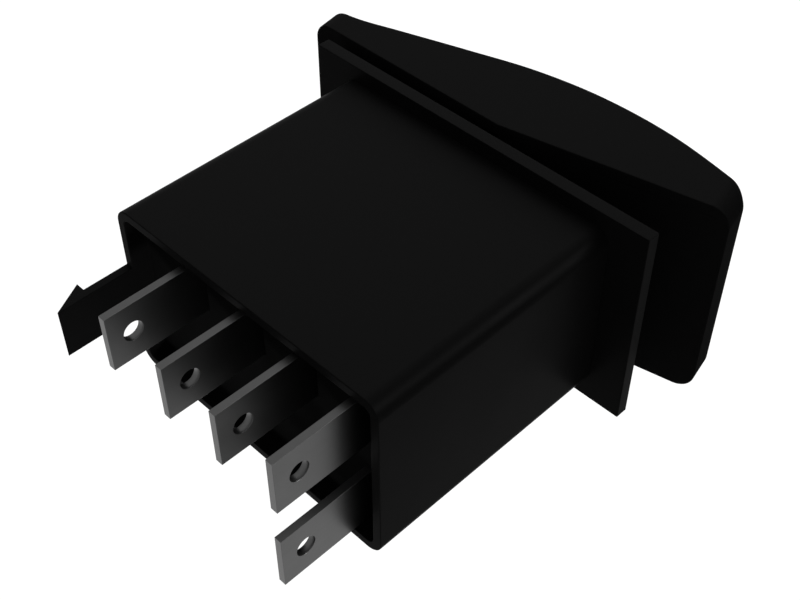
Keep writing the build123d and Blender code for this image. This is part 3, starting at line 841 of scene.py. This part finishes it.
fine_curve = smooth_curve(FRONT, LENS_STEPS)
half_length = LENS_LENGTH / 2 - LENS_FIT
half_height = LENS_HEIGHT / 2 - LENS_FIT
half_face = LENS_LENGTH / 2 - LENS_MARGIN
lens_side = [(a, b + LENS_SINK) for a, b in fine_curve if LENS_X - half_face < a < LENS_X + half_face]
lens_side += [(LENS_X - half_length, LENS_BACK[0]), (LENS_X + half_length, LENS_BACK[1])]
lens = prism("rocker_lens", lens_side, "z", -half_height, half_height)
plan = rectangle(2 * half_length, 2 * half_height, LENS_CORNER - LENS_FIT, (LENS_X, 0.0))
combine(lens, prism("lens_plan", plan, "y", *WINDOW_REACH), "INTERSECT")
round_edges(lens, BROKEN_EDGE, steps=2)
dress(lens, amber_lens, "rocker", "lens_plastic", "lens")

# %% [markdown]
# ## Pieces inside
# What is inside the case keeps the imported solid, because only a sliver of it shows through the gap
# under the rocker. Each piece gets its own finish, and a Bevel modifier breaks the edges of the
# see-saw and the fixed buttons. A modifier leaves the solid's own mesh as it was packed.

# %% Finish the pieces inside
SHARP_INSIDE = math.radians(40)
INSIDE = {
    "rocker_carrier": (carrier_plastic, 0.0),
    "pivot_pin": (ground_steel, 0.0),
    "plunger": (natural_nylon, 0.0),
    "plunger_spring": (spring_steel, 0.0),
    "seesaw_contact": (copper_strip, 0.05),
    "moving_button_a": (silver, 0.0),
    "moving_button_b": (silver, 0.0),
    "fixed_button_a": (silver, 0.04),
    "fixed_button_b": (silver, 0.04),
    "lamp_body": (lamp_glass, 0.0),
    "lamp_lead_feed": (tinned_wire, 0.0),
    "lamp_lead_return": (tinned_wire, 0.0),
    "resistor_body": (enamel, 0.0),
    "resistor_lead": (tinned_wire, 0.0),
}

for node, (material, width) in INSIDE.items():
    solid = nodes[node]
    solid.data.materials.clear()
    solid.data.materials.append(material)
    if width:
        bevel = solid.modifiers.new("break_edges", "BEVEL")
        bevel.width = width * MM
        bevel.segments = 2
        bevel.limit_method = "ANGLE"
        bevel.angle_limit = SHARP_INSIDE
print("finished", len(INSIDE), "pieces inside")

# %% [markdown]
# ## Floor
# The picture has a pure white surround and no shadow. A pale floor lies well below the switch. It
# is matte paper to the light that falls on it, so it sends light up and can show a soft shadow, and
# it is nearly all plain white to the camera and in reflections. It is one face that is clear from
# below, so a look from there still finds the switch.

# %% Make the floor
FLOOR_Z = -60.0
FLOOR_SIZE = 1600
FLOOR_WHITE = 1.08
FLOOR_SHARE = 0.9
WHITE = (1, 1, 1, 1)


def floor_material():
    """White to the camera, with a share of real light so that a soft shadow can show."""
    material, tree = blank("pale_floor")
    path = add(tree, "ShaderNodeLightPath")
    paper = add(tree, "ShaderNodeBsdfDiffuse", inputs={"Color": linear("#F4F4F4")})
    white = add(tree, "ShaderNodeEmission", inputs={"Color": WHITE, "Strength": FLOOR_WHITE})
    seen = add(tree, "ShaderNodeMath", {"operation": "MAXIMUM"}, {
        0: path.outputs["Is Camera Ray"], 1: path.outputs["Is Glossy Ray"]})
    share = add(tree, "ShaderNodeMath", {"operation": "MULTIPLY"}, {0: seen.outputs[0], 1: FLOOR_SHARE})
    shown = add(tree, "ShaderNodeMixShader", inputs={
        0: share.outputs[0], 1: paper.outputs[0], 2: white.outputs[0]})
    clear = add(tree, "ShaderNodeBsdfTransparent")
    behind = add(tree, "ShaderNodeNewGeometry").outputs["Backfacing"]
    both = add(tree, "ShaderNodeMixShader", inputs={0: behind, 1: shown.outputs[0], 2: clear.outputs[0]})
    add(tree, "ShaderNodeOutputMaterial", inputs={"Surface": both.outputs[0]})
    return material


sheet = bmesh.new()
sheet.faces.new([sheet.verts.new(AXES["z"](a, b, FLOOR_Z)) for a, b in rectangle(FLOOR_SIZE, FLOOR_SIZE)])
floor = bpy.data.objects.new("floor", bpy.data.meshes.new("floor"))
sheet.to_mesh(floor.data)
sheet.free()
bpy.context.scene.collection.objects.link(floor)
floor.data.materials.append(floor_material())
print("floor at z", FLOOR_Z)

# %% [markdown]
# ## Background
# The world is white to the camera, in reflections and through glass, and only a weak level of light
# comes from all round. If the background's white also lit the switch, black plastic would turn grey.

# %% Make the background
SURROUND = 0.18

world = bpy.data.worlds.new("surround")
world.use_nodes = True
bpy.context.scene.world = world
tree = world.node_tree
tree.nodes.clear()
path = add(tree, "ShaderNodeLightPath")
seen = add(tree, "ShaderNodeMath", {"operation": "MAXIMUM"}, {
    0: path.outputs["Is Camera Ray"], 1: path.outputs["Is Glossy Ray"]})
seen = add(tree, "ShaderNodeMath", {"operation": "MAXIMUM"}, {
    0: seen.outputs[0], 1: path.outputs["Is Transmission Ray"]})
light = add(tree, "ShaderNodeBackground", inputs={"Color": WHITE, "Strength": SURROUND})
white = add(tree, "ShaderNodeBackground", inputs={"Color": WHITE, "Strength": 1.0})
mixed = add(tree, "ShaderNodeMixShader", inputs={
    0: seen.outputs[0], 1: light.outputs[0], 2: white.outputs[0]})
add(tree, "ShaderNodeOutputWorld", inputs={"Surface": mixed.outputs[0]})
bpy.context.scene.view_settings.view_transform = "Standard"
print("light from all round", SURROUND)

# %% [markdown]
# ## Lamps
# Soft lamps do the rest. One above the far side lights the top faces and, by way of the floor, the
# faces below. One in front of the near end and one in front of the far end fill the rocker. One is
# only there to be mirrored, and draws the thin line of light along the case's round edges. The last
# is a small lamp behind, with a narrow beam on the tabs and the latch arm: the faces that look
# straight back are nearly black in the picture, so no wide lamp stands on that side. The middle of
# every lamp is above the floor, which hides whatever is lower.

# %% Make the lamps
# Each lamp: name, place, aim, watts, size, beam in degrees, seen in reflections, lights the surfaces
LAMPS = [
    ("lamp_above", (150, -160, 150), (0, 0, 0), 1.25, 400, 180, False, True),
    ("lamp_near_end", (-160, -270, -20), (0, 0, 0), 0.1, 300, 180, True, True),
    ("lamp_edge", (-296, -200, 180), (0, 0, 0), 2.2, 210, 180, True, False),
    ("lamp_fill", (230, -240, 40), (0, 0, 0), 0.4, 200, 180, False, True),
    ("lamp_tabs", (-120, 130, -45), (16, 33, 0), 0.0018, 20, 24, False, True),
]

for name, place, aim, watts, size, beam, mirrored, lights in LAMPS:
    lamp = bpy.data.objects.new(name, bpy.data.lights.new(name, "AREA"))
    lamp.data.energy = watts
    lamp.data.size = size * MM
    lamp.data.spread = math.radians(beam)
    lamp.visible_glossy = mirrored
    lamp.visible_diffuse = lights
    lamp.location = Vector(place) * MM
    lamp.rotation_euler = (Vector(aim) - Vector(place)).to_track_quat("-Z", "Y").to_euler()
    bpy.context.scene.collection.objects.link(lamp)
print("lamps", len(LAMPS))
